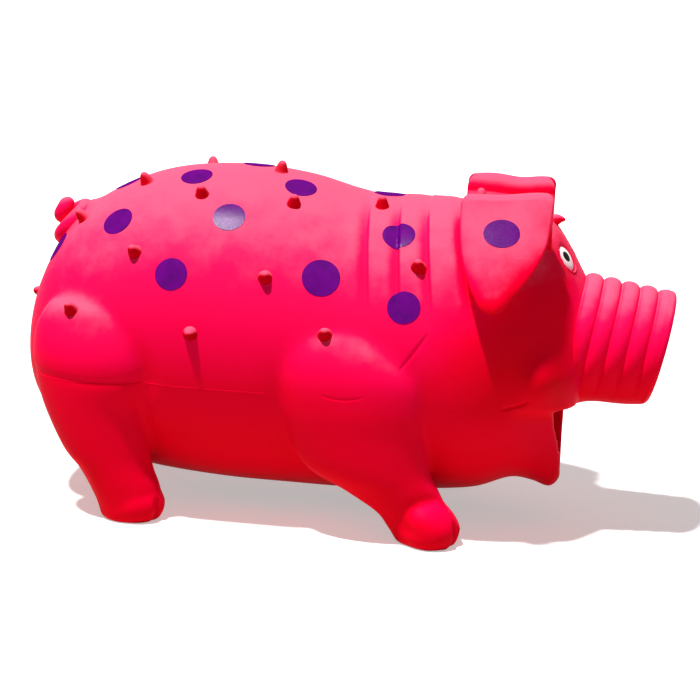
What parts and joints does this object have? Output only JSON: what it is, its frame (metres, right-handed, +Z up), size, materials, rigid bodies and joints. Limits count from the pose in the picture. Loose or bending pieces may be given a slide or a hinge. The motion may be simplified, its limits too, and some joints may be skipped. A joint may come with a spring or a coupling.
{
  "type": "latex pig dog toy",
  "caption": "Standing pig dog toy of moulded latex with folded ears, a ringed snout, an open mouth, a curled tail, nubs and dots, filled with fibre, with a squeaker in the belly.",
  "frame": {"origin": "on the floor, under the middle of the toy's length and width", "axes": "+X towards the snout, +Y towards the pig's left side, +Z up"},
  "size_m": [0.1984, 0.0956, 0.1059],
  "materials": {
    "latex": "satin moulded latex, hot pink shading to red",
    "eye_paint": "glossy paint on latex",
    "fibre": "loose polyester fibre",
    "squeaker_plastic": "moulded polyethylene",
    "reed_film": "thin polyester film"
  },
  "bodies": {
    "casting": {"torso_skin": "latex", "head_skin": "latex", "lower_jaw": "latex", "front_leg_right": "latex", "front_leg_left": "latex", "rear_leg_right": "latex", "rear_leg_left": "latex", "tail": "latex", "snout_bellows": "latex", "eye_right": "eye_paint", "eye_left": "eye_paint", "fibre_fill": "fibre", "squeaker_housing": "squeaker_plastic", "reed_block": "squeaker_plastic", "reed_clamp": "squeaker_plastic", "squeaker_cap": "squeaker_plastic"},
    "left_ear": {"ear_left": "latex"},
    "right_ear": {"ear_right": "latex"},
    "snout_end": {"nose_tip": "latex"},
    "reed_tongue": {"reed": "reed_film"}
  },
  "joints": [
    {"name": "ear_left_flap", "type": "hinge", "parent": "casting", "child": "left_ear", "pos_m": [0.04772, 0.025, 0.1015], "axis": [1, 0, 0], "range_deg": [0, 105], "stiffness_Nm_per_rad": 0.006},
    {"name": "ear_right_flap", "type": "hinge", "parent": "casting", "child": "right_ear", "pos_m": [0.04772, -0.025, 0.1015], "axis": [-1, 0, 0], "range_deg": [0, 105], "stiffness_Nm_per_rad": 0.006},
    {"name": "snout_press", "type": "slide", "parent": "casting", "child": "snout_end", "axis": [0.9994, 0, -0.0342], "range_m": [-0.008, 0], "stiffness_N_per_m": 300, "deforming": ["snout_bellows"]},
    {"name": "reed_buzz", "type": "hinge", "parent": "casting", "child": "reed_tongue", "pos_m": [-0.02238, 0, 0.01915], "axis": [0, -1, 0], "range_deg": [-1.2, 4], "stiffness_Nm_per_rad": 0.0001}
  ]
}
